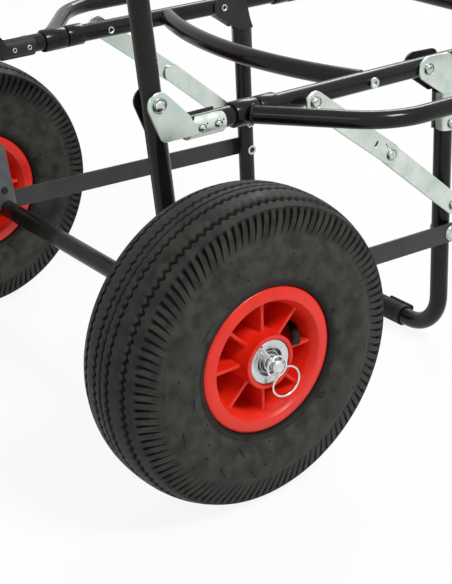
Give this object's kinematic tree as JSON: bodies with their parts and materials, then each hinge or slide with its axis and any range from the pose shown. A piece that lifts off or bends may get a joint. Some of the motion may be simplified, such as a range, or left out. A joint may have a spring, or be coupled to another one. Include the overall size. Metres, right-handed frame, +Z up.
{
  "type": "fishing trolley",
  "caption": "Two-wheeled folding trolley for fishing gear: push frame, fold-up tube platform, U-shaped front leg, drag bars, stays and side guards.",
  "frame": {"origin": "centre of the bounding box in plan, on the ground", "axes": "+Z up, +Y from the axle towards the front leg, +X across the trolley to its near wheel"},
  "size_m": [0.566, 0.5986, 0.963],
  "materials": {
    "black_tube": "glossy black paint on round steel tube",
    "black_sheet": "black painted pressed sheet and bolt heads",
    "satin_bar": "satin dark grey flat bar",
    "zinc": "bright zinc plate with a faint yellow tint",
    "red_rim": "moulded red plastic, slightly glossy",
    "tyre": "dark grey rubber with a zigzag road tread",
    "rubber": "black rubber",
    "foam_grip": "matt black foam"
  },
  "bodies": {
    "main_frame": {"main_frame_tube": "black_tube", "push_grip": "foam_grip", "axle_tube": "black_tube", "axle_rod": "zinc", "foot_plate_near": "zinc", "foot_plate_far": "zinc", "foot_plate_bolt_near": "black_sheet", "foot_plate_bolt_far": "black_sheet"},
    "platform": {"platform_tube": "black_tube", "cross_tube": "black_tube", "cross_bolt_near": "zinc", "cross_bolt_far": "zinc", "rear_cheek_outer_near": "zinc", "rear_cheek_outer_far": "zinc", "rear_cheek_inner_near": "black_sheet", "rear_cheek_inner_far": "black_sheet", "rear_rivet_1_near": "zinc", "rear_rivet_1_far": "zinc", "rear_rivet_2_near": "zinc", "rear_rivet_2_far": "zinc", "rear_pivot_near": "zinc", "rear_pivot_far": "zinc", "stay_top_pin_near": "zinc", "stay_top_pin_far": "zinc"},
    "front_leg": {"front_leg_tube": "black_tube", "foot_sleeve": "rubber", "front_cheek_outer_near": "zinc", "front_cheek_outer_far": "zinc", "front_cheek_inner_near": "black_sheet", "front_cheek_inner_far": "black_sheet", "front_rivet_near": "zinc", "front_rivet_far": "zinc", "front_pivot_near": "zinc", "front_pivot_far": "zinc", "drag_pin_near": "zinc", "drag_pin_far": "zinc", "stay_low_pin_near": "zinc", "stay_low_pin_far": "zinc"},
    "drag_bars": {"drag_bar_near": "satin_bar", "drag_bar_far": "satin_bar"},
    "upper_stays": {"stay_upper_link_near": "zinc", "stay_upper_link_far": "zinc", "stay_middle_pin_near": "zinc", "stay_middle_pin_far": "zinc"},
    "lower_stays": {"stay_lower_link_near": "zinc", "stay_lower_link_far": "zinc"},
    "guard_near": {"side_guard_near": "black_tube"},
    "guard_far": {"side_guard_far": "black_tube"},
    "wheel_near": {"wheel_rim_near": "red_rim", "wheel_tyre_near": "tyre", "wheel_inner_tube_near": "rubber", "wheel_valve_cap_near": "rubber", "wheel_hub_bearing_near": "zinc"},
    "wheel_far": {"wheel_rim_far": "red_rim", "wheel_tyre_far": "tyre", "wheel_inner_tube_far": "rubber", "wheel_valve_cap_far": "rubber", "wheel_hub_bearing_far": "zinc"},
    "cotter_near": {"ring_cotter_near": "zinc"},
    "cotter_far": {"ring_cotter_far": "zinc"}
  },
  "joints": [
    {"name": "platform_fold", "type": "hinge", "parent": "main_frame", "child": "platform", "pos_m": [0, -0.18675, 0.311], "axis": [1, 0, 0], "range_deg": [0, 88]},
    {"name": "leg_fold", "type": "hinge", "parent": "platform", "child": "front_leg", "pos_m": [0, 0.09925, 0.285], "axis": [1, 0, 0], "range_deg": [-97, 0]},
    {"name": "drag_bar_swing", "type": "hinge", "parent": "main_frame", "child": "drag_bars", "pos_m": [0, -0.16925, 0.13], "axis": [1, 0, 0], "range_deg": [0, 90]},
    {"name": "upper_stay_swing", "type": "hinge", "parent": "platform", "child": "upper_stays", "pos_m": [0, -0.03825, 0.285], "axis": [1, 0, 0], "range_deg": [0, 45]},
    {"name": "lower_stay_swing", "type": "hinge", "parent": "front_leg", "child": "lower_stays", "pos_m": [0, 0.13175, 0.151], "axis": [1, 0, 0], "range_deg": [-60, 0]},
    {"name": "guard_swing_near", "type": "hinge", "parent": "platform", "child": "guard_near", "pos_m": [0.1505, 0.05175, 0.285], "axis": [0, -1, 0], "range_deg": [0, 160]},
    {"name": "guard_swing_far", "type": "hinge", "parent": "platform", "child": "guard_far", "pos_m": [-0.1505, 0.05175, 0.285], "axis": [0, 1, 0], "range_deg": [0, 160]},
    {"name": "wheel_spin_near", "type": "hinge", "parent": "main_frame", "child": "wheel_near", "pos_m": [0.233, -0.16925, 0.13], "axis": [1, 0, 0], "continuous": true},
    {"name": "wheel_spin_far", "type": "hinge", "parent": "main_frame", "child": "wheel_far", "pos_m": [-0.233, -0.16925, 0.13], "axis": [1, 0, 0], "continuous": true},
    {"name": "cotter_swing_near", "type": "hinge", "parent": "main_frame", "child": "cotter_near", "pos_m": [0.276, -0.16925, 0.13], "axis": [0, 0.5299, -0.848], "range_deg": [-10, 10]},
    {"name": "cotter_swing_far", "type": "hinge", "parent": "main_frame", "child": "cotter_far", "pos_m": [-0.276, -0.16925, 0.13], "axis": [0, 0.5299, -0.848], "range_deg": [-10, 10]}
  ],
  "couplings": [
    {"joint": "leg_fold", "follows": "platform_fold", "ratio": -1.045},
    {"joint": "drag_bar_swing", "follows": "platform_fold", "ratio": 0.945},
    {"joint": "upper_stay_swing", "follows": "platform_fold", "ratio": 0.3573},
    {"joint": "lower_stay_swing", "follows": "platform_fold", "ratio": -0.4444}
  ]
}
